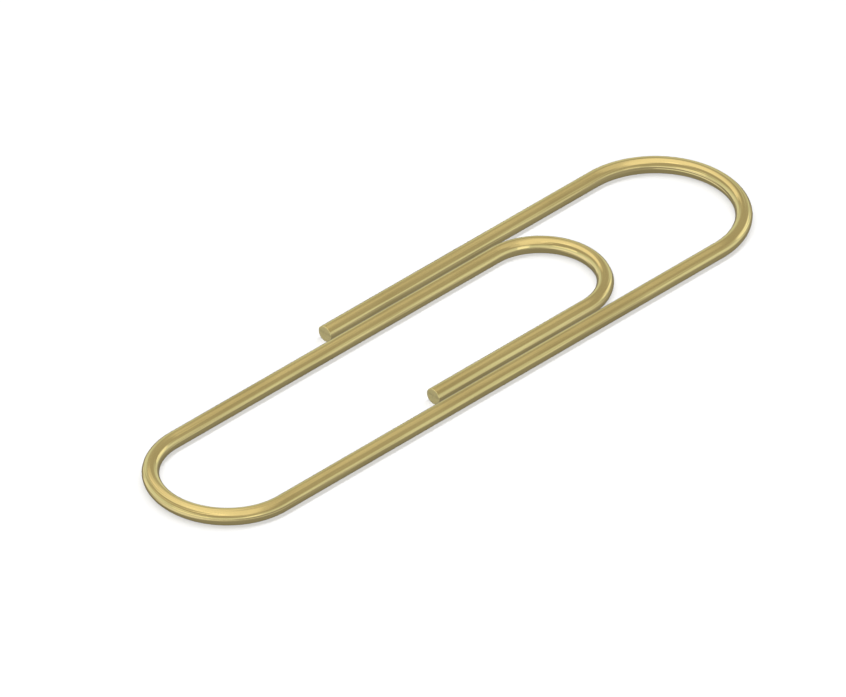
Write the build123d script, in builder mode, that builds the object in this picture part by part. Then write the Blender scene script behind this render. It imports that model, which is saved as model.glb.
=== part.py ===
"""Paper clip of round brass wire.

One wire runs from the cut end of the outer leg, round the crown bend, down the long leg, round the heel bend,
up the inner leg, round the tongue bend and down the tongue leg to its other cut end. The clip lies flat: X is
across it, Y runs along it towards the crown, and the origin is under its middle, on the surface it lies on.

The wire springs open by twisting in the middle of each bend, so each bend is two quarter turns that meet there.
"""

from build123d import *

import os

# Driving dimensions, in millimetres
wire_diameter = 0.75
clip_length = 34.0  # over the outside of the heel and crown bends
clip_width = 8.25  # over the outside of the outer and long legs
leg_gap = 0.25  # clear space between two legs that lie side by side
tongue_setback = 8.0  # from the outside of the crown bend to the outside of the tongue bend
outer_leg_length = 16.25  # straight wire from the crown bend to the cut end
tongue_leg_length = 9.25  # straight wire from the tongue bend to the cut end
cut_edge_radius = 0.04  # rounding that tumbling leaves on the edge of a cut end

# The four legs, by the place of each one's centreline across the clip
wire_radius = wire_diameter / 2
leg_pitch = wire_diameter + leg_gap
outer_x = wire_radius - clip_width / 2
inner_x = outer_x + leg_pitch
long_x = clip_width / 2 - wire_radius
tongue_x = long_x - leg_pitch

# Each bend is a half circle between the two legs that it joins
crown_radius = (long_x - outer_x) / 2
heel_radius = (long_x - inner_x) / 2
tongue_radius = (tongue_x - inner_x) / 2
crown_x = (outer_x + long_x) / 2
heel_x = (inner_x + long_x) / 2
tongue_bend_x = (inner_x + tongue_x) / 2
crown_y = clip_length / 2 - wire_radius - crown_radius
heel_y = wire_radius + heel_radius - clip_length / 2
tongue_y = clip_length / 2 - tongue_setback - wire_radius - tongue_radius

# Places round a bend, in degrees from +X, and the turn that one stretch of a bend makes
right_side = 0
top = 90
left_side = 180
bottom = 270
quarter_turn = -90  # clockwise, seen from above

# The wire's centreline, stretch by stretch from one cut end to the other
with BuildLine(Plane.XY.offset(wire_radius)) as centreline:
    outer_leg = Line((outer_x, crown_y - outer_leg_length), (outer_x, crown_y))
    crown_outer_side = CenterArc((crown_x, crown_y), crown_radius, left_side, quarter_turn)
    crown_long_side = CenterArc((crown_x, crown_y), crown_radius, top, quarter_turn)
    long_leg = Line((long_x, crown_y), (long_x, heel_y))
    heel_long_side = CenterArc((heel_x, heel_y), heel_radius, right_side, quarter_turn)
    heel_inner_side = CenterArc((heel_x, heel_y), heel_radius, bottom, quarter_turn)
    inner_leg = Line((inner_x, heel_y), (inner_x, tongue_y))
    tongue_inner_side = CenterArc((tongue_bend_x, tongue_y), tongue_radius, left_side, quarter_turn)
    tongue_free_side = CenterArc((tongue_bend_x, tongue_y), tongue_radius, top, quarter_turn)
    tongue_leg = Line((tongue_x, tongue_y), (tongue_x, tongue_y - tongue_leg_length))

stretches = {
    "outer_leg": outer_leg,
    "crown_bend_outer_side": crown_outer_side,
    "crown_bend_long_side": crown_long_side,
    "long_leg": long_leg,
    "heel_bend_long_side": heel_long_side,
    "heel_bend_inner_side": heel_inner_side,
    "inner_leg": inner_leg,
    "tongue_bend_inner_side": tongue_inner_side,
    "tongue_bend_free_side": tongue_free_side,
    "tongue_leg": tongue_leg,
}
legs_with_a_cut_end = ("outer_leg", "tongue_leg")

os.makedirs("parts", exist_ok=True)
for name, path in stretches.items():
    with BuildPart() as stretch:
        with BuildSketch(Plane(origin=path @ 0, z_dir=path % 0)):
            Circle(wire_radius)
        sweep(path=path)
        if name in legs_with_a_cut_end:
            # Both cut ends point towards the heel
            cut_edge = stretch.edges().filter_by(GeomType.CIRCLE).sort_by(Axis.Y).first
            fillet(cut_edge, cut_edge_radius)
    stretch.part.label = name
    export_step(stretch.part, f"parts/{name}.step")

print(f"wire length before bending {centreline.wire().length:.2f} mm")
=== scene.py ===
"""Paper clip of drawn brass wire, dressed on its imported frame.

The wire is made stretch by stretch, from the cut end of the outer leg to the cut end of the tongue leg.
Straight legs ride on the clip's arms, and each bend turns smoothly between the two arms that it joins.
"""

import math
import random

import bpy
import numpy as np
from bpy.props import FloatProperty, FloatVectorProperty, IntProperty, PointerProperty
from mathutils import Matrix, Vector, noise


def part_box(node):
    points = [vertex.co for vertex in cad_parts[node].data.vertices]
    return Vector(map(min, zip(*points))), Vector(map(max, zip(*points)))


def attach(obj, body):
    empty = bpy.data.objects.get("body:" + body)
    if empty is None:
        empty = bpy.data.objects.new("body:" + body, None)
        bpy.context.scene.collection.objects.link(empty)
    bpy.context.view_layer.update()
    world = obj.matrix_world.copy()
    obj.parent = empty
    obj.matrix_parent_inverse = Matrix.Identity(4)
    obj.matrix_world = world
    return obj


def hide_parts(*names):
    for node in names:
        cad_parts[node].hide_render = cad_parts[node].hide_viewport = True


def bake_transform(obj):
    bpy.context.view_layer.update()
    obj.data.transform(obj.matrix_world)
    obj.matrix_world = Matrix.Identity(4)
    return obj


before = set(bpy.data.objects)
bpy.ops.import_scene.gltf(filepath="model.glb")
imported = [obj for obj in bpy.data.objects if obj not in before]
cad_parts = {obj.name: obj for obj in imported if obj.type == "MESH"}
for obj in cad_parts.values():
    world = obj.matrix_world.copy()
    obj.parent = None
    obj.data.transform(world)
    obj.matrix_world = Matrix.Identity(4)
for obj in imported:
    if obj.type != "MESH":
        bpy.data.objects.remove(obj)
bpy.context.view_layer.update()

bl_info = {
    "name": "Brass Paper Clip",
    "version": (1, 0, 0),
    "blender": (4, 5, 0),
    "location": "View3D > Sidebar > Paper Clip",
    "description": "Dresses the paper clip's frame with drawn brass wire and sets its stage",
    "category": "Add Mesh",
}

MM = 0.001
WHITE = (1.0, 1.0, 1.0, 1.0)

# The wire in order from one cut end to the other, as the stretches that it is made in
STRETCHES = ("outer_leg", "crown_bend", "long_leg", "heel_bend", "inner_leg", "tongue_bend", "tongue_leg")
LEGS_TO_THE_CROWN = ("outer_leg", "inner_leg")
ARM_OF_LEG = {
    "outer_leg": "outer_arm",
    "long_leg": "main_arm",
    "inner_leg": "inner_arm",
    "tongue_leg": "tongue_arm",
}

# The two quarter turns of each bend, in the wire's order
QUARTER_TURNS = {
    "crown_bend": ("crown_bend_outer_side", "crown_bend_long_side"),
    "heel_bend": ("heel_bend_long_side", "heel_bend_inner_side"),
    "tongue_bend": ("tongue_bend_inner_side", "tongue_bend_free_side"),
}

# How finely the meshes are made
RING_POINTS = 160
LEG_RING_SPACING = 0.5 * MM
BEND_RINGS = 72
EDGE_RINGS = 5
FACE_RINGS = 16

# The lines that the drawing die left: the seed that scatters them, their widths round the wire in degrees,
# their depths as shares of the deepest, and their lengths in millimetres
LINE_SEED = 7
LINE_WIDTHS = (3, 12)
LINE_DEPTHS = (0.3, 1)
LINE_LENGTHS = (8, 45)

# The tear across a cut end: the height of its upper edge over the wire's middle, how far that edge wanders,
# and over what height the tear deepens, as shares of the wire's radius
TEAR_HEIGHT = 0.3
TEAR_WANDER = 0.2
TEAR_SLOPE = 0.25

# Its grains: their size in millimetres, and the share of the tear's depth that they vary
TORN_GRAIN = 0.07
GRAIN_SHARE = 0.3

# The floor and the backdrop: half their width, and the depth of the backdrop under the floor
STAGE_HALF = 0.6
BACKDROP_DEPTH = 30 * MM

# Painted reflection: how much paler the brass shows the backdrop's painted shade towards the front left,
# between two distances, and how much paler far off. The distances are in depths of the backdrop, and
# azimuths are in degrees from +X.
FRONT_AZIMUTH = -115.0
PALER_AHEAD = 0.9
AHEAD_FROM = 1.7
AHEAD_TO = 3.1
PALER_AWAY = 0.5
AWAY_TO = 12.0

# Elevations, in degrees, at which the pale band round the foot of the walls begins to fade and is gone
BAND_FADES = 6.0
BAND_ENDS = 31.0

# The lamps overhead: places and sizes in heights of the softbox, and the turn of the softboxes in degrees
SOFTBOX_PLACE = (-0.35, 0.07, 1.0)
SOFTBOX_SIZE = (3.0, 1.44)
MIDDLE_PLACE = (-0.36, -0.04, 0.98)
MIDDLE_SIZE = (2.6, 0.92)
FRONT_PLACE = (0.08, -0.43, 0.96)
FRONT_SIZE = (1.0, 0.22)
KEY_PLACE = (0.0, 0.0, 1.0)
KEY_SIZE = (0.157, 1.6)
SOFTBOX_TURN = -9.0

# The strip lamps round the clip: azimuth and elevation in degrees, width and height in heights of the softbox
STRIP_LAMPS = (
    (-92, 16, 0.9, 0.2),
    (-12, 11, 0.4, 0.42),
    (78, 14, 0.6, 0.3),
)

# The photograph looks at the clip from above a corner, through a lens so long that the legs stay parallel.
# The distance and the aim put the clip where it lies in the photograph's frame. The camera shows what lies
# between two shares of its distance.
CAMERA_AZIMUTH = -45.0
CAMERA_ELEVATION = 35.264
CAMERA_LENS = 1200.0
CAMERA_DISTANCE = 1.197558
CAMERA_AIM = (-0.545 * MM, -0.6712 * MM, -0.1261 * MM)
CAMERA_CLIP = (0.1, 10)


def linear(hex_colour):
    """An sRGB hex colour as the linear colour that shaders take."""
    channels = [int(hex_colour[i : i + 2], 16) / 255 for i in (1, 3, 5)]
    return tuple(c / 12.92 if c <= 0.04045 else ((c + 0.055) / 1.055) ** 2.4 for c in channels)


def direction(azimuth, elevation):
    """The unit vector at that azimuth from +X and that elevation, in degrees."""
    a, e = math.radians(azimuth), math.radians(elevation)
    return Vector((math.cos(a) * math.cos(e), math.sin(a) * math.cos(e), math.sin(e)))


class ClipSizes(bpy.types.PropertyGroup):
    """Sizes of the wire and of the marks that making it leaves."""

    wire_diameter: FloatProperty(
        name="Wire diameter",
        description="Thickness of the round wire",
        default=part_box("long_leg")[1].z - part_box("long_leg")[0].z,
        unit="LENGTH",
    )
    cut_edge: FloatProperty(
        name="Cut edge",
        description="Rounding on the edge of a cut end",
        default=0.02 * MM,
        unit="LENGTH",
    )
    torn_depth: FloatProperty(
        name="Torn depth",
        description="How far the torn part of a cut end stands back from the part that the blade cut clean",
        default=0.015 * MM,
        unit="LENGTH",
    )
    die_line_depth: FloatProperty(
        name="Die line depth",
        description="Depth of the deepest line that the drawing die left along the wire",
        default=0.0022 * MM,
        unit="LENGTH",
    )
    die_line_count: IntProperty(
        name="Die lines",
        description="How many such lines there are along the whole wire",
        default=52,
    )
    line_opening: FloatProperty(
        name="Opening of the lines",
        description="Share of its depth that such a line gains from a leg to the middle of a bend",
        default=2.8,
        subtype="FACTOR",
    )
    bend_spread: FloatProperty(
        name="Spread in the bends",
        description="Share by which bending makes the inside of a bend wider and its outside narrower",
        default=0.04,
        subtype="FACTOR",
    )


class WireFinish(bpy.types.PropertyGroup):
    """Colours of the brass."""

    bright_brass: FloatVectorProperty(
        name="Bright brass",
        description="Brass where it was last rubbed clean",
        default=linear("#ECD99B"),
        subtype="COLOR",
    )
    dull_brass: FloatVectorProperty(
        name="Dull brass",
        description="Brass under a thin film of tarnish",
        default=linear("#DECB8F"),
        subtype="COLOR",
    )
    slanted_brass: FloatVectorProperty(
        name="Brass at a slant",
        description="Share of the light that brass seen at a slant still gives back",
        default=linear("#E4E2D7"),
        subtype="COLOR",
    )
    cut_brass: FloatVectorProperty(
        name="Cut brass",
        description="Brass on the sheared ends",
        default=linear("#F4E9AA"),
        subtype="COLOR",
    )


class StageSettings(bpy.types.PropertyGroup):
    """The floor, and the soft light of the studio."""

    floor: FloatVectorProperty(
        name="Floor",
        description="Colour of the thin floor, which lets the rest of the white backdrop under it through",
        default=linear("#AEAEAE"),
        subtype="COLOR",
    )
    # Painted shade in a painted reflection: the grey that the brass mirrors right under the clip, where the
    # backdrop is white to the eye
    painted_shade_under_clip: FloatVectorProperty(
        name="Backdrop in the brass",
        description="Colour of the backdrop right under the clip, as the brass mirrors it",
        default=linear("#8B8B8B"),
        subtype="COLOR",
    )
    wall: FloatVectorProperty(
        name="Walls",
        description="Colour of the studio's walls and ceiling",
        default=linear("#B4B0A3"),
        subtype="COLOR",
    )
    low_wall: FloatVectorProperty(
        name="Foot of the walls",
        description="Colour of the paler band round the foot of the walls",
        default=linear("#E6EEE8"),
        subtype="COLOR",
    )
    softbox: FloatVectorProperty(
        name="Softbox",
        description="Colour of the softboxes and the strip lamps",
        default=linear("#FFF7E6"),
        subtype="COLOR",
    )
    softbox_power: FloatProperty(
        name="Softbox power",
        description="Power of the softbox overhead",
        default=2.85,
        unit="POWER",
    )
    middle_power: FloatProperty(
        name="Softbox middle power",
        description="Power that the softbox's brighter middle adds",
        default=1.77,
        unit="POWER",
    )
    front_power: FloatProperty(
        name="Front softbox power",
        description="Power of the smaller softbox, nearer the front",
        default=0.18,
        unit="POWER",
    )
    strip_power: FloatProperty(
        name="Strip lamp power",
        description="Power of each strip lamp that stands round the clip",
        default=0.25,
        unit="POWER",
    )
    softbox_height: FloatProperty(
        name="Softbox height",
        description="Height of the softbox over the floor, by which all lamps are placed and sized",
        default=1.0,
        unit="LENGTH",
    )
    key: FloatVectorProperty(
        name="Key",
        description="Colour of the key lamp",
        default=linear("#F8FAFF"),
        subtype="COLOR",
    )
    key_power: FloatProperty(
        name="Key power",
        description="Power of the key, the long lamp straight above that draws the shadow on the floor",
        default=11.8,
        unit="POWER",
    )


class PaperClipSettings(bpy.types.PropertyGroup):
    """Everything that the panel shows."""

    sizes: PointerProperty(type=ClipSizes)
    finish: PointerProperty(type=WireFinish)
    stage: PointerProperty(type=StageSettings)


def add_node(tree, kind, settings, inputs):
    """Adds a node with its settings, and gives each input its value or links it to the output that feeds it.
    Returns the node's outputs."""
    node = tree.nodes.new(kind)
    for name, value in settings.items():
        setattr(node, name, value)
    for name, value in inputs.items():
        if isinstance(value, bpy.types.NodeSocket):
            tree.links.new(value, node.inputs[name])
        else:
            node.inputs[name].default_value = value
    return node.outputs


def bare_material(name):
    """A new material whose node tree is empty."""
    material = bpy.data.materials.new(name)
    material.use_nodes = True
    material.node_tree.nodes.clear()
    return material


def shiny_rays(tree):
    """One where a ray was mirrored or let through by a shiny surface, and none elsewhere."""
    path = add_node(tree, "ShaderNodeLightPath", {}, {})
    rays = {0: path["Is Glossy Ray"], 1: path["Is Transmission Ray"]}
    return add_node(tree, "ShaderNodeMath", {"operation": "MAXIMUM"}, rays)["Value"]


def drawn_brass(finish):
    """Brass wire drawn bright through a die and bent round pins. Fine lines run along it, so its highlights
    are soft across the wire and a little streaked, and tarnish dulls it in faint patches. The pins smoothed
    the bends and rubbed the inside of each one bright, and stretching left its outside a little dull."""
    material = bpy.data.materials.get("drawn brass")
    if material:
        return material
    material = bare_material("drawn brass")
    tree = material.node_tree
    place = add_node(tree, "ShaderNodeAttribute", {"attribute_name": "wire_place"}, {})["Vector"]
    rubbed = add_node(tree, "ShaderNodeAttribute", {"attribute_name": "rubbed"}, {})["Fac"]
    bent = add_node(tree, "ShaderNodeAttribute", {"attribute_name": "bent"}, {})["Fac"]

    # What rubbing adds to tarnish and roughness, and what bending adds to roughness and to the fine lines
    rubbed_tarnish, rubbed_roughness = -0.3, -0.05
    bent_roughness, bent_lines = -0.05, -0.1

    # Die lines lie about 0.02 mm apart and are 0.003 mm deep, and are drawn coarser so that they show
    line_spacing, line_length, line_depth = 0.12, 9.0, 0.02 * MM
    line_scale = (1 / line_spacing, 1 / line_spacing, 1 / line_length)
    line_place = add_node(tree, "ShaderNodeVectorMath", {"operation": "MULTIPLY"}, {0: place, 1: line_scale})
    lines = add_node(
        tree,
        "ShaderNodeTexNoise",
        {},
        {"Vector": line_place["Vector"], "Scale": 1.0, "Detail": 2.0, "Roughness": 0.6},
    )["Fac"]

    # Patches of tarnish are a few millimetres long
    patch_width, patch_length = 0.9, 4.0
    patch_scale = (1 / patch_width, 1 / patch_width, 1 / patch_length)
    patch_place = add_node(
        tree, "ShaderNodeVectorMath", {"operation": "MULTIPLY"}, {0: place, 1: patch_scale}
    )
    patches = add_node(
        tree,
        "ShaderNodeTexNoise",
        {},
        {"Vector": patch_place["Vector"], "Scale": 1.0, "Detail": 3.0},
    )["Fac"]

    # Tarnish lies in the patches and in the lines, less where the wire was rubbed
    tarnish = add_node(
        tree,
        "ShaderNodeMapRange",
        {"interpolation_type": "SMOOTHSTEP"},
        {"Value": patches, "From Min": 0.38, "From Max": 0.68, "To Max": 0.8},
    )["Result"]
    in_lines = add_node(
        tree,
        "ShaderNodeMapRange",
        {"interpolation_type": "SMOOTHSTEP"},
        {"Value": lines, "From Min": 0.5, "From Max": 0.75, "To Max": 0.5},
    )["Result"]
    dullness = add_node(tree, "ShaderNodeMath", {"operation": "MAXIMUM"}, {0: tarnish, 1: in_lines})["Value"]
    dullness_left = add_node(
        tree, "ShaderNodeMath", {"operation": "MULTIPLY_ADD"}, {0: rubbed, 1: rubbed_tarnish, 2: dullness}
    )["Value"]
    colour = add_node(
        tree,
        "ShaderNodeMix",
        {"data_type": "RGBA"},
        {"Factor": dullness_left, "A": (*finish.bright_brass, 1), "B": (*finish.dull_brass, 1)},
    )["Result"]

    # The lines make the wire rougher, and rubbing and bending smooth it
    drawn_roughness = add_node(
        tree,
        "ShaderNodeMapRange",
        {},
        {"Value": lines, "From Min": 0.25, "From Max": 0.75, "To Min": 0.14, "To Max": 0.22},
    )["Result"]
    roughness_left = add_node(
        tree,
        "ShaderNodeMath",
        {"operation": "MULTIPLY_ADD"},
        {0: rubbed, 1: rubbed_roughness, 2: drawn_roughness},
    )["Value"]
    roughness = add_node(
        tree, "ShaderNodeMath", {"operation": "MULTIPLY_ADD"}, {0: bent, 1: bent_roughness, 2: roughness_left}
    )["Value"]

    # The pins pressed the finest lines of a bend a little flatter
    lines_left = add_node(
        tree, "ShaderNodeMath", {"operation": "MULTIPLY_ADD"}, {0: bent, 1: bent_lines, 2: 1.0}
    )["Value"]
    height = add_node(tree, "ShaderNodeMath", {"operation": "MULTIPLY"}, {0: lines, 1: lines_left})["Value"]
    relief = add_node(tree, "ShaderNodeBump", {}, {"Height": height, "Distance": line_depth})["Normal"]
    brass = add_node(
        tree,
        "ShaderNodeBsdfPrincipled",
        {},
        {
            "Base Color": colour,
            "Metallic": 1.0,
            "Roughness": roughness,
            "Specular Tint": (*finish.slanted_brass, 1),
            "Normal": relief,
        },
    )["BSDF"]
    add_node(tree, "ShaderNodeOutputMaterial", {}, {"Surface": brass})
    return material


def sheared_brass(finish):
    """Brass cut through by a blade: matt and a little pale, scored the way the blade went."""
    material = bpy.data.materials.get("sheared brass")
    if material:
        return material
    material = bare_material("sheared brass")
    tree = material.node_tree
    place = add_node(tree, "ShaderNodeAttribute", {"attribute_name": "wire_place"}, {})["Vector"]

    # Scores lie about 0.01 mm apart, and are drawn 0.05 mm apart so that they show
    score_spacing, score_length, score_depth = 0.05, 0.4, 0.004 * MM
    score_scale = (1 / score_spacing, 1 / score_length, 1.0)
    score_place = add_node(
        tree, "ShaderNodeVectorMath", {"operation": "MULTIPLY"}, {0: place, 1: score_scale}
    )
    scores = add_node(
        tree,
        "ShaderNodeTexNoise",
        {},
        {"Vector": score_place["Vector"], "Scale": 1.0, "Detail": 3.0},
    )["Fac"]
    colour = add_node(
        tree,
        "ShaderNodeMix",
        {"data_type": "RGBA"},
        {"Factor": scores, "A": (*finish.cut_brass, 1), "B": (*finish.bright_brass, 1)},
    )["Result"]
    roughness = add_node(
        tree,
        "ShaderNodeMapRange",
        {},
        {"Value": scores, "From Min": 0.25, "From Max": 0.75, "To Min": 0.36, "To Max": 0.5},
    )["Result"]
    relief = add_node(
        tree,
        "ShaderNodeBump",
        {},
        {"Height": scores, "Strength": 0.3, "Distance": score_depth},
    )["Normal"]
    brass = add_node(
        tree,
        "ShaderNodeBsdfPrincipled",
        {},
        {"Base Color": colour, "Metallic": 1.0, "Roughness": roughness, "Normal": relief},
    )["BSDF"]
    add_node(tree, "ShaderNodeOutputMaterial", {}, {"Surface": brass})
    return material


def leg_line(leg):
    """Where a leg's centreline begins and ends, in the wire's direction."""
    low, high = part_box(leg)
    middle = (low + high) / 2
    ends = [Vector((middle.x, low.y, middle.z)), Vector((middle.x, high.y, middle.z))]
    return ends if leg in LEGS_TO_THE_CROWN else ends[::-1]


def legs_of(bend):
    """The leg before a bend and the leg after it."""
    i = STRETCHES.index(bend)
    return STRETCHES[i - 1], STRETCHES[i + 1]


def bend_ends(bend):
    """Where a bend's centreline begins and ends."""
    before, after = legs_of(bend)
    return leg_line(before)[1], leg_line(after)[0]


def length_of(stretch):
    """Length of a stretch of wire along its centreline."""
    if stretch in QUARTER_TURNS:
        start, end = bend_ends(stretch)
        return math.pi / 2 * (end - start).length
    start, end = leg_line(stretch)
    return (end - start).length


def start_of(stretch):
    """How far along the whole wire a stretch begins."""
    return sum(length_of(s) for s in STRETCHES[: STRETCHES.index(stretch)])


def leg_stations(leg):
    """Places along a leg: the point on its centreline, the direction of travel, the distance along the whole
    wire, and how bent the wire is there, which is not at all."""
    start, end = leg_line(leg)
    count = round((end - start).length / LEG_RING_SPACING)
    travel = (end - start).normalized()
    shares = [i / count for i in range(count + 1)]
    return [(start.lerp(end, s), travel, start_of(leg) + s * length_of(leg), 0.0) for s in shares]


def bend_stations(bend):
    """Places round a bend, as leg_stations gives them for a leg. The bend turns clockwise seen from above,
    and is most bent in its middle."""
    start, end = bend_ends(bend)
    centre = (start + end) / 2
    out = start - centre
    stations = []
    for i in range(BEND_RINGS + 1):
        turned = math.pi * i / BEND_RINGS
        spoke = Vector((
            out.x * math.cos(turned) + out.y * math.sin(turned),
            out.y * math.cos(turned) - out.x * math.sin(turned),
            0.0,
        ))
        travel = Vector((spoke.y, -spoke.x, 0.0)).normalized()
        along = start_of(bend) + out.length * turned
        stations.append((centre + spoke, travel, along, math.sin(turned)))
    return stations


def make_die_lines(sizes):
    """The drawing die's lines: each one's angle round the wire, width, depth, middle and length."""
    chance = random.Random(LINE_SEED)
    whole = sum(length_of(s) for s in STRETCHES)
    lines = []
    for _ in range(sizes.die_line_count):
        angle = chance.uniform(0, 2 * math.pi)
        width = math.radians(chance.uniform(*LINE_WIDTHS))
        depth = sizes.die_line_depth * chance.uniform(*LINE_DEPTHS)
        middle = chance.uniform(0, whole)
        length = chance.uniform(*LINE_LENGTHS) * MM
        lines.append((angle, width, depth, middle, length))
    return lines


def wire_ring(station, sizes, die_lines, inset=0.0):
    """One ring round the wire, drawn in by inset, as four columns: its points, the place of each on the
    straight wire, which is out of the bend, up and along in millimetres, how far the inside of a bend was
    rubbed, which is less than none on its outside, and how bent the wire is."""
    centre, travel, along, bend = station
    angles = np.arange(RING_POINTS) * 2 * math.pi / RING_POINTS
    radii = np.full(RING_POINTS, sizes.wire_diameter / 2 - inset)
    # Bending opens the lines up, and each one fades out towards its ends
    opened = 1 + sizes.line_opening * bend
    for angle, width, depth, middle, length in die_lines:
        apart = (angles - angle + math.pi) % (2 * math.pi) - math.pi
        fade = math.exp(-((2 * (along - middle) / length) ** 4))
        radii -= opened * depth * fade * np.exp(-((apart / width) ** 2))
    out = radii * np.cos(angles)
    up = radii * np.sin(angles)
    # Bending draws the wire thin on the outside of a bend and spreads it on the inside, no higher than it was
    lean = sizes.bend_spread * bend
    height = up * (1 - lean * np.cos(angles)) / (1 + lean**2)
    outside = np.array((-travel.y, travel.x, 0.0))
    points = np.array(centre) + np.outer(out, outside) + np.outer(height, (0.0, 0.0, 1.0))
    places = np.stack([out, up, np.full(RING_POINTS, along)], 1) / MM
    return points, places, -bend * np.cos(angles), np.full(RING_POINTS, bend)


def cut_end_rings(station, sizes, die_lines, outwards):
    """Rings over a cut end, from the wire's side round the edge and in over the face. outwards is 1 at the
    wire's last end and -1 at its first."""
    centre, travel, along, _ = station
    radius = sizes.wire_diameter / 2
    # The first ring stands clear of the edge, so that the edge's shading ends there
    steps = [(0.0, 2 * sizes.cut_edge)]
    for i in range(EDGE_RINGS + 1):
        turn = math.pi / 2 * i / EDGE_RINGS
        steps.append((sizes.cut_edge * (1 - math.cos(turn)), sizes.cut_edge * (1 - math.sin(turn))))
    for i in range(1, FACE_RINGS):
        steps.append((sizes.cut_edge + (radius - sizes.cut_edge) * i / FACE_RINGS, 0.0))
    rings = []
    for inset, back in steps:
        station = (centre - outwards * back * travel, travel, along - outwards * back, 0.0)
        points, places, rubbed, bent = wire_ring(station, sizes, die_lines, inset)
        # The blade came from above: it cut the upper part clean, and the lower part tore, along a ragged line
        ragged = np.array([noise.noise((x / TORN_GRAIN, 0.0, along)) for x in places[:, 0]])
        grain = np.array([noise.noise((x / TORN_GRAIN, z / TORN_GRAIN, along)) for x, z, _ in places])
        below = TEAR_HEIGHT + TEAR_WANDER * ragged - places[:, 1] * MM / radius
        torn = np.clip(below / TEAR_SLOPE, 0, 1)
        depth = sizes.torn_depth * torn * (1 - GRAIN_SHARE + GRAIN_SHARE * grain)
        points = points - np.outer(outwards * depth, travel)
        rings.append((points, places, rubbed, bent))
    return rings


def wire_faces(count, cut):
    """The faces of a closed mesh of that many rings, whose two closing points come last. Also each corner's
    spot in the map, which is its ring and its place round it, so that the map is the wire unrolled, and which
    faces are on the cut end, and which close a plain end and are flat."""
    first, last = count * RING_POINTS, count * RING_POINTS + 1
    top = (count - 1) * RING_POINTS
    cut_rings = FACE_RINGS - 1 + EDGE_RINGS
    faces, spots, cut_faces, flat_faces = [], [], [], []
    for j in range(RING_POINTS):
        k = (j + 1) % RING_POINTS
        faces.append((first, k, j))
        spots += [(0, j + 0.5), (1, j + 1), (1, j)]
        cut_faces.append(cut == "start")
        flat_faces.append(cut != "start")
        for i in range(count - 1):
            here, there = i * RING_POINTS, (i + 1) * RING_POINTS
            faces.append((here + j, here + k, there + k, there + j))
            spots += [(i + 1, j), (i + 1, j + 1), (i + 2, j + 1), (i + 2, j)]
            at_start = cut == "start" and i < cut_rings
            at_end = cut == "end" and i >= count - 1 - cut_rings
            cut_faces.append(at_start or at_end)
            flat_faces.append(False)
        faces.append((last, top + j, top + k))
        spots += [(count + 1, j + 0.5), (count, j), (count, j + 1)]
        cut_faces.append(cut == "end")
        flat_faces.append(cut != "end")
    return faces, np.array(spots) / (count + 1, RING_POINTS), cut_faces, flat_faces


def wire_mesh(name, stations, sizes, die_lines, cut=None):
    """A closed mesh of the wire along its stations. The faces of a cut end take the second material."""
    rings = [wire_ring(s, sizes, die_lines) for s in stations]
    if cut == "start":
        rings[0:1] = cut_end_rings(stations[0], sizes, die_lines, -1)[::-1]
    elif cut == "end":
        rings[-1:] = cut_end_rings(stations[-1], sizes, die_lines, 1)
    # Each end is closed on a point in the middle of its ring
    points, places, rubbed, bent = (
        np.concatenate([*column, [column[0].mean(0)], [column[-1].mean(0)]]) for column in zip(*rings)
    )
    faces, spots, cut_faces, flat_faces = wire_faces(len(rings), cut)
    mesh = bpy.data.meshes.new(name)
    mesh.from_pydata(points.tolist(), [], faces)
    mesh.polygons.foreach_set("use_smooth", [not flat for flat in flat_faces])
    mesh.polygons.foreach_set("material_index", [int(c) for c in cut_faces])
    place = mesh.attributes.new("wire_place", "FLOAT_VECTOR", "POINT")
    place.data.foreach_set("vector", places.astype(np.float32).ravel())
    for layer, values in (("rubbed", rubbed), ("bent", bent)):
        data = mesh.attributes.new(layer, "FLOAT", "POINT").data
        data.foreach_set("value", values.astype(np.float32))
    # A plain end meets the wire's side in a sharp rim
    top = (len(rings) - 1) * RING_POINTS
    rims = [set(range(RING_POINTS)), set(range(top, top + RING_POINTS))]
    rim_edges = [any(set(e.vertices) <= rim for rim in rims) for e in mesh.edges]
    mesh.edges.foreach_set("use_edge_sharp", rim_edges)
    unrolled = mesh.uv_layers.new(name="OFBake")
    unrolled.uv.foreach_set("vector", spots.astype(np.float32).ravel())
    mesh.update()
    return mesh


def add_wire(context, stretch, stations, cut=None):
    """Adds the wire of one stretch as a piece of the clip."""
    settings = context.scene.paper_clip
    mesh = wire_mesh(stretch, stations, settings.sizes, make_die_lines(settings.sizes), cut)
    mesh.materials.append(drawn_brass(settings.finish))
    if cut:
        mesh.materials.append(sheared_brass(settings.finish))
    piece = bpy.data.objects.new(f"{stretch}_wire", mesh)
    context.scene.collection.objects.link(piece)
    # The brass mirrors the studio and the backdrop, and not the wire beside it
    piece.visible_glossy = False
    return piece


class PAPERCLIP_OT_legs(bpy.types.Operator):
    """Make the long leg and the inner leg, which have a bend at either end"""

    bl_idname = "paper_clip.legs"
    bl_label = "Long and inner legs"

    def execute(self, context):
        for leg in ("long_leg", "inner_leg"):
            piece = add_wire(context, leg, leg_stations(leg))
            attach(piece, ARM_OF_LEG[leg])
            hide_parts(leg)
        return {"FINISHED"}


class PAPERCLIP_OT_cut_legs(bpy.types.Operator):
    """Make the outer leg and the tongue leg, which have a bend at one end and are sheared off at the other"""

    bl_idname = "paper_clip.cut_legs"
    bl_label = "Outer and tongue legs"

    def execute(self, context):
        for leg, cut in (("outer_leg", "start"), ("tongue_leg", "end")):
            piece = add_wire(context, leg, leg_stations(leg), cut)
            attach(piece, ARM_OF_LEG[leg])
            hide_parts(leg)
        return {"FINISHED"}


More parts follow.
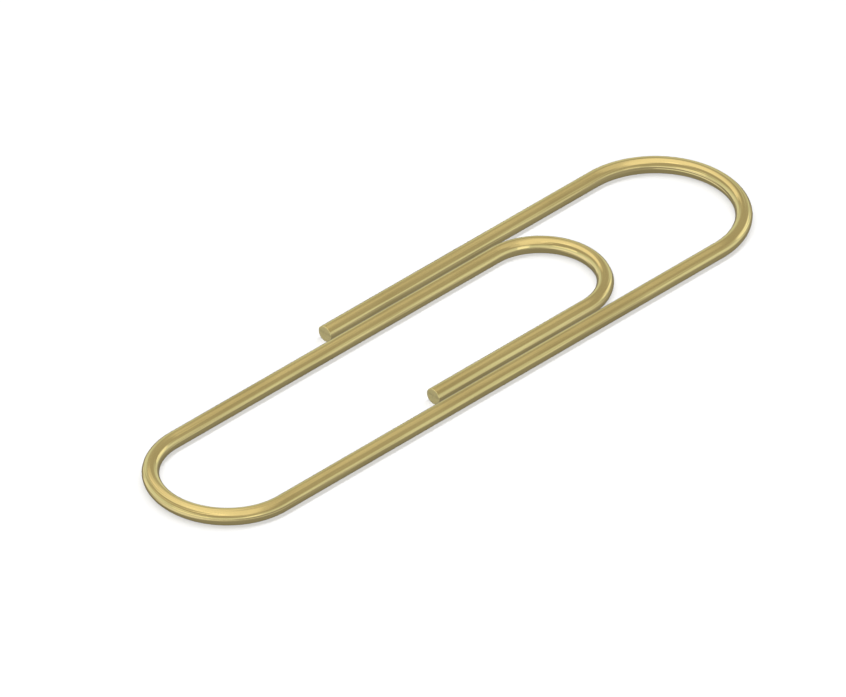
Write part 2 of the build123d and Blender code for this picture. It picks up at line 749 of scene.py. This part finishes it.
class PAPERCLIP_OT_bends(bpy.types.Operator):
    """Make the crown, heel and tongue bends, each between the legs of two arms"""

    bl_idname = "paper_clip.bends"
    bl_label = "Bends"

    def execute(self, context):
        for bend, quarter_turns in QUARTER_TURNS.items():
            piece = add_wire(context, bend, bend_stations(bend))
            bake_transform(piece)
            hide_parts(*quarter_turns)
        return {"FINISHED"}


class PAPERCLIP_OT_stage(bpy.types.Operator):
    """Set the floor, the backdrop, the soft light and the camera"""

    bl_idname = "paper_clip.stage"
    bl_label = "Stage"

    def execute(self, context):
        stage = context.scene.paper_clip.stage
        self.add_floor(context, stage)
        self.add_backdrop(context, stage)
        self.add_world(context, stage)
        self.add_lamps(context, stage)
        self.add_camera(context)
        context.scene.view_settings.view_transform = "Standard"
        return {"FINISHED"}

    def add_plane(self, context, name, half, height, material):
        """Adds a level square that belongs to the stage."""
        mesh = bpy.data.meshes.new(name)
        corners = [(-half, -half, height), (half, -half, height), (half, half, height), (-half, half, height)]
        mesh.from_pydata(corners, [], [(0, 1, 2, 3)])
        mesh.materials.append(material)
        plane = bpy.data.objects.new(name, mesh)
        context.scene.collection.objects.link(plane)

    def add_floor(self, context, stage):
        """A thin milky sheet: it takes the clip's shadow, and lets the rest of the white backdrop through.
        From below and in the brass it is clear."""
        material = bare_material("opal sheet")
        tree = material.node_tree
        let_through = [1 - c for c in stage.floor]
        gap = add_node(tree, "ShaderNodeBsdfTransparent", {}, {"Color": (*let_through, 1.0)})["BSDF"]
        milk = add_node(tree, "ShaderNodeBsdfDiffuse", {}, {"Color": (*stage.floor, 1.0)})["BSDF"]
        sheet = add_node(tree, "ShaderNodeAddShader", {}, {0: gap, 1: milk})["Shader"]
        clear = add_node(tree, "ShaderNodeBsdfTransparent", {}, {"Color": WHITE})["BSDF"]
        under = add_node(tree, "ShaderNodeNewGeometry", {}, {})["Backfacing"]
        unseen = add_node(
            tree, "ShaderNodeMath", {"operation": "MAXIMUM"}, {0: shiny_rays(tree), 1: under}
        )["Value"]
        surface = add_node(tree, "ShaderNodeMixShader", {}, {"Fac": unseen, 1: sheet, 2: clear})["Shader"]
        add_node(tree, "ShaderNodeOutputMaterial", {}, {"Surface": surface})
        self.add_plane(context, "floor", STAGE_HALF, 0.0, material)

    def add_backdrop(self, context, stage):
        """White paper under the floor. It is white to the eye and lights nothing. In the brass it shows a
        painted
        reflection: painted shade, grey under the clip, that pales outwards, most of all to the front left."""
        material = bare_material("white backdrop")
        tree = material.node_tree
        geometry = add_node(tree, "ShaderNodeNewGeometry", {}, {})
        place = geometry["Position"]
        # Painted reflection for shiny rays: grey painted shade right under the clip, paler further out and
        # most to the front left
        ahead = add_node(
            tree,
            "ShaderNodeVectorMath",
            {"operation": "DOT_PRODUCT"},
            {0: place, 1: direction(FRONT_AZIMUTH, 0)},
        )["Value"]
        away = add_node(tree, "ShaderNodeVectorMath", {"operation": "LENGTH"}, {0: place})["Value"]
        paler_ahead = add_node(
            tree,
            "ShaderNodeMapRange",
            {},
            {
                "Value": ahead,
                "From Min": AHEAD_FROM * BACKDROP_DEPTH,
                "From Max": AHEAD_TO * BACKDROP_DEPTH,
                "To Max": PALER_AHEAD,
            },
        )["Result"]
        paler_away = add_node(
            tree,
            "ShaderNodeMapRange",
            {"clamp": False},
            {"Value": away, "From Max": AWAY_TO * BACKDROP_DEPTH, "To Max": PALER_AWAY},
        )["Result"]
        pale = add_node(
            tree, "ShaderNodeMath", {"operation": "ADD", "use_clamp": True}, {0: paler_ahead, 1: paler_away}
        )["Value"]
        mirrored = add_node(
            tree,
            "ShaderNodeMix",
            {"data_type": "RGBA"},
            {"Factor": pale, "A": (*stage.painted_shade_under_clip, 1.0), "B": WHITE},
        )["Result"]
        shiny = shiny_rays(tree)
        colour = add_node(
            tree, "ShaderNodeMix", {"data_type": "RGBA"}, {"Factor": shiny, "A": WHITE, "B": mirrored}
        )["Result"]
        eye = add_node(tree, "ShaderNodeLightPath", {}, {})["Is Camera Ray"]
        seen = add_node(tree, "ShaderNodeMath", {"operation": "MAXIMUM"}, {0: eye, 1: shiny})["Value"]
        paper = add_node(tree, "ShaderNodeEmission", {}, {"Color": colour, "Strength": seen})["Emission"]
        clear = add_node(tree, "ShaderNodeBsdfTransparent", {}, {})["BSDF"]
        surface = add_node(
            tree, "ShaderNodeMixShader", {}, {"Fac": geometry["Backfacing"], 1: paper, 2: clear}
        )["Shader"]
        add_node(tree, "ShaderNodeOutputMaterial", {}, {"Surface": surface})
        self.add_plane(context, "backdrop", STAGE_HALF, -BACKDROP_DEPTH, material)

    def add_world(self, context, stage):
        """Plain walls and ceiling, paler round the foot of the walls."""
        world = bpy.data.worlds.new("studio")
        context.scene.world = world
        world.use_nodes = True
        tree = world.node_tree
        tree.nodes.clear()
        outwards = add_node(tree, "ShaderNodeTexCoord", {}, {})["Generated"]
        height = add_node(tree, "ShaderNodeSeparateXYZ", {}, {"Vector": outwards})["Z"]
        fades, ends = (math.sin(math.radians(elevation)) for elevation in (BAND_FADES, BAND_ENDS))
        share = add_node(
            tree,
            "ShaderNodeMapRange",
            {"interpolation_type": "SMOOTHSTEP"},
            {"Value": height, "From Min": fades, "From Max": ends},
        )["Result"]
        colour = add_node(
            tree,
            "ShaderNodeMix",
            {"data_type": "RGBA"},
            {"Factor": share, "A": (*stage.low_wall, 1.0), "B": (*stage.wall, 1.0)},
        )["Result"]
        light = add_node(tree, "ShaderNodeBackground", {}, {"Color": colour})["Background"]
        add_node(tree, "ShaderNodeOutputWorld", {}, {"Surface": light})
        # The walls are what the brass mirrors, and the floor takes its light from the lamps
        world.cycles_visibility.diffuse = False

    def add_lamp(self, context, name, shape, place, size, power, colour):
        """Adds a lamp that faces straight down. Its place and size are in heights of the softbox."""
        height = context.scene.paper_clip.stage.softbox_height
        light = bpy.data.lights.new(name, "AREA")
        light.shape = shape
        light.size, light.size_y = (side * height for side in size)
        light.color = colour
        light.energy = power
        lamp = bpy.data.objects.new(name, light)
        lamp.location = Vector(place) * height
        lamp.visible_camera = False
        context.scene.collection.objects.link(lamp)
        return lamp

    def add_lamps(self, context, stage):
        """The softboxes and strip lamps that the brass mirrors, and the key that draws the shadow."""
        overhead = (
            ("softbox", SOFTBOX_PLACE, SOFTBOX_SIZE, stage.softbox_power),
            ("softbox middle", MIDDLE_PLACE, MIDDLE_SIZE, stage.middle_power),
            ("front softbox", FRONT_PLACE, FRONT_SIZE, stage.front_power),
        )
        for name, place, size, power in overhead:
            softbox = self.add_lamp(context, name, "ELLIPSE", place, size, power, stage.softbox)
            softbox.rotation_euler.z = math.radians(SOFTBOX_TURN)
        for azimuth, elevation, *size in STRIP_LAMPS:
            place = direction(azimuth, elevation)
            strip = self.add_lamp(
                context, "strip lamp", "RECTANGLE", place, size, stage.strip_power, stage.softbox
            )
            # A strip lamp faces the clip
            strip.rotation_mode = "QUATERNION"
            strip.rotation_quaternion = (-place).to_track_quat("-Z", "Y")
        # The key lies along the clip, so the shadow is crisp beside the legs and soft round the bends
        key = self.add_lamp(context, "key", "RECTANGLE", KEY_PLACE, KEY_SIZE, stage.key_power, stage.key)
        key.visible_glossy = False

    def add_camera(self, context):
        """The camera, at the photograph's angle."""
        back = direction(CAMERA_AZIMUTH, CAMERA_ELEVATION)
        data = bpy.data.cameras.new("camera")
        data.lens = CAMERA_LENS
        data.clip_start, data.clip_end = (share * CAMERA_DISTANCE for share in CAMERA_CLIP)
        camera = bpy.data.objects.new("camera", data)
        camera.location = Vector(CAMERA_AIM) + back * CAMERA_DISTANCE
        camera.rotation_mode = "QUATERNION"
        camera.rotation_quaternion = (-back).to_track_quat("-Z", "Y")
        context.scene.collection.objects.link(camera)
        context.scene.camera = camera


class PAPERCLIP_PT_panel(bpy.types.Panel):
    """The clip's settings, and a button for each group of its pieces"""

    bl_idname = "PAPERCLIP_PT_panel"
    bl_label = "Paper Clip"
    bl_space_type = "VIEW_3D"
    bl_region_type = "UI"
    bl_category = "Paper Clip"

    def draw(self, context):
        settings = context.scene.paper_clip
        for group in (settings.sizes, settings.finish, settings.stage):
            box = self.layout.box()
            for name in group.__annotations__:
                box.prop(group, name)
        for operator in OPERATORS:
            self.layout.operator(operator.bl_idname)


GROUPS = (ClipSizes, WireFinish, StageSettings, PaperClipSettings)
OPERATORS = (PAPERCLIP_OT_legs, PAPERCLIP_OT_cut_legs, PAPERCLIP_OT_bends, PAPERCLIP_OT_stage)
CLASSES = (*GROUPS, *OPERATORS, PAPERCLIP_PT_panel)


def register():
    for cls in CLASSES:
        bpy.utils.register_class(cls)
    bpy.types.Scene.paper_clip = PointerProperty(type=PaperClipSettings)


def unregister():
    del bpy.types.Scene.paper_clip
    for cls in reversed(CLASSES):
        bpy.utils.unregister_class(cls)


def main():
    register()
    bpy.ops.paper_clip.legs()
    bpy.ops.paper_clip.cut_legs()
    bpy.ops.paper_clip.bends()
    bpy.ops.paper_clip.stage()


if __name__ == "__main__":
    main()
